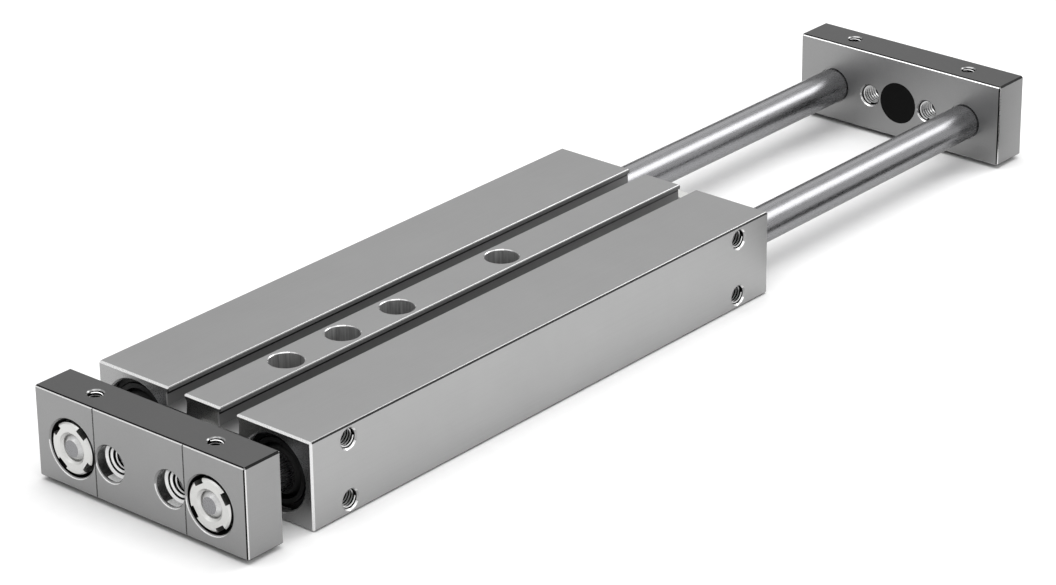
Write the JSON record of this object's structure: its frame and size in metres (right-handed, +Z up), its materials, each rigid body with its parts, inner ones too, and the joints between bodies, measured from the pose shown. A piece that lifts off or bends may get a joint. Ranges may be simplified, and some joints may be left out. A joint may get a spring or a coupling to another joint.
{
  "type": "guided pneumatic cylinder",
  "caption": "Flat guided air cylinder: a slotted block body, parallel rods right through it, and a yoke plate that joins the rods at each end.",
  "frame": {"origin": "middle of the body's underside", "axes": "+X along the stroke towards the rear yoke, +Y towards the left rod, +Z up out of the slotted top"},
  "size_m": [0.3183, 0.071, 0.0252],
  "materials": {
    "anodised_aluminium": "clear anodised, satin",
    "machined_aluminium": "machined and clear anodised",
    "ground_steel": "ground and hard chromed",
    "bright_steel": "bright zinc",
    "black_aluminium": "black anodised",
    "spring_steel": "phosphated",
    "seal_rubber": "matt",
    "buffer_rubber": "matt",
    "bush_bronze": "sintered",
    "magnet_plastic": "matt"
  },
  "bodies": {
    "cylinder": {"body": "anodised_aluminium", "stop_screws": "bright_steel", "stop_nuts": "bright_steel", "glands_left": "black_aluminium", "rod_seals_left": "seal_rubber", "guide_bushes_left": "bush_bronze", "gland_orings_left": "seal_rubber", "snap_rings_left": "spring_steel", "glands_right": "black_aluminium", "rod_seals_right": "seal_rubber", "guide_bushes_right": "bush_bronze", "gland_orings_right": "seal_rubber", "snap_rings_right": "spring_steel"},
    "carriage": {"yoke_nuts": "bright_steel", "rod_left": "ground_steel", "piston_left": "machined_aluminium", "piston_magnet_left": "magnet_plastic", "piston_seal_left": "seal_rubber", "rod_right": "ground_steel", "piston_right": "machined_aluminium", "piston_magnet_right": "magnet_plastic", "piston_seal_right": "seal_rubber", "yoke_plate_front": "machined_aluminium", "yoke_buffer_front": "buffer_rubber", "yoke_plate_rear": "machined_aluminium", "yoke_buffer_rear": "buffer_rubber"}
  },
  "joints": [
    {"name": "carriage_slide", "type": "slide", "parent": "cylinder", "child": "carriage", "axis": [-1, 0, 0], "range_m": [0, 0.1]}
  ]
}
